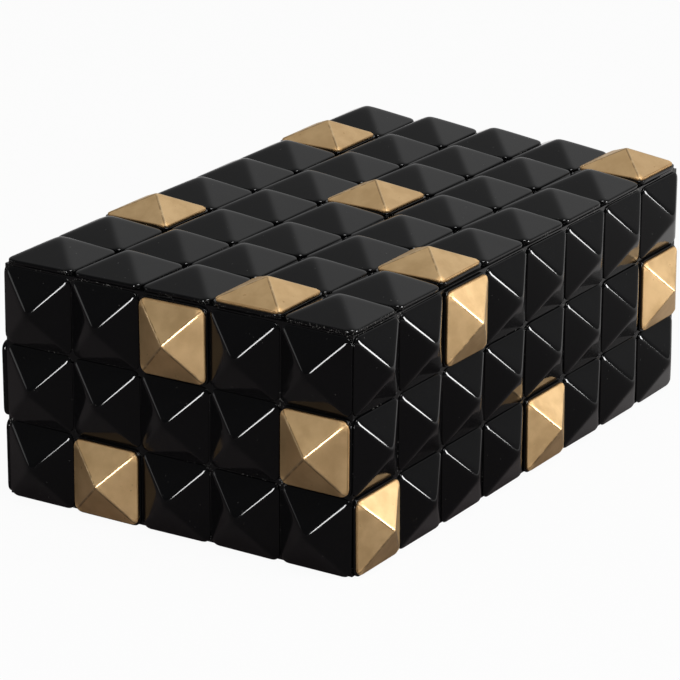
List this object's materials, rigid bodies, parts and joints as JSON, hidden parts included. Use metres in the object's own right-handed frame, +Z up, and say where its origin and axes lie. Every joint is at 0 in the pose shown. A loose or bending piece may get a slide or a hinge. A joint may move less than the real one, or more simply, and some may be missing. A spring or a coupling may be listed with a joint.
{
  "type": "magic drawer box",
  "caption": "Tabletop block covered in pyramid studs, with hidden drawers that slide out of the front and one end along the stud lines.",
  "frame": {"origin": "on the resting plane under the middle of the box", "axes": "+Z up, -Y towards the long front that three drawers open to, -X towards the end that the long drawer opens to"},
  "size_m": [0.3262, 0.2122, 0.1272],
  "materials": {
    "black_resin": "polished",
    "brass": "satin",
    "black_lacquered_wood": "gloss lacquer",
    "drawer_wood": "satin",
    "felt": "napped"
  },
  "bodies": {
    "case": {"back_board": "black_lacquered_wood", "back_brass_caps": "brass", "back_studs": "black_resin", "base_board": "black_lacquered_wood", "base_felt": "felt", "front_middle_brass_caps": "brass", "front_middle_rail": "black_lacquered_wood", "front_middle_studs": "black_resin", "left_end_bottom_brass_caps": "brass", "left_end_bottom_rail": "black_lacquered_wood", "left_end_bottom_studs": "black_resin", "left_end_top_brass_caps": "brass", "left_end_top_rail": "black_lacquered_wood", "left_end_top_studs": "black_resin", "lower_divider": "black_lacquered_wood", "right_end_board": "black_lacquered_wood", "right_end_brass_caps": "brass", "right_end_studs": "black_resin", "top_board": "black_lacquered_wood", "top_brass_caps": "brass", "top_drawer_partition": "black_lacquered_wood", "top_studs": "black_resin", "upper_divider": "black_lacquered_wood"},
    "bottom_drawer": {"bottom_drawer_back": "drawer_wood", "bottom_drawer_brass_caps": "brass", "bottom_drawer_floor": "drawer_wood", "bottom_drawer_front": "black_lacquered_wood", "bottom_drawer_left_side": "drawer_wood", "bottom_drawer_lining": "felt", "bottom_drawer_right_side": "drawer_wood", "bottom_drawer_studs": "black_resin"},
    "top_left_drawer": {"top_left_drawer_back": "drawer_wood", "top_left_drawer_brass_caps": "brass", "top_left_drawer_floor": "drawer_wood", "top_left_drawer_front": "black_lacquered_wood", "top_left_drawer_left_side": "drawer_wood", "top_left_drawer_lining": "felt", "top_left_drawer_right_side": "drawer_wood", "top_left_drawer_studs": "black_resin"},
    "top_right_drawer": {"top_right_drawer_back": "drawer_wood", "top_right_drawer_floor": "drawer_wood", "top_right_drawer_front": "black_lacquered_wood", "top_right_drawer_left_side": "drawer_wood", "top_right_drawer_lining": "felt", "top_right_drawer_right_side": "drawer_wood", "top_right_drawer_studs": "black_resin"},
    "end_drawer": {"end_drawer_back": "drawer_wood", "end_drawer_brass_caps": "brass", "end_drawer_floor": "drawer_wood", "end_drawer_front": "black_lacquered_wood", "end_drawer_left_side": "drawer_wood", "end_drawer_lining": "felt", "end_drawer_right_side": "drawer_wood", "end_drawer_studs": "black_resin"}
  },
  "joints": [
    {"name": "bottom_drawer_slide", "type": "slide", "parent": "case", "child": "bottom_drawer", "axis": [0, -1, 0], "range_m": [0, 0.13]},
    {"name": "top_left_drawer_slide", "type": "slide", "parent": "case", "child": "top_left_drawer", "axis": [0, -1, 0], "range_m": [0, 0.13]},
    {"name": "top_right_drawer_slide", "type": "slide", "parent": "case", "child": "top_right_drawer", "axis": [0, -1, 0], "range_m": [0, 0.13]},
    {"name": "end_drawer_slide", "type": "slide", "parent": "case", "child": "end_drawer", "axis": [-1, 0, 0], "range_m": [0, 0.215]}
  ]
}
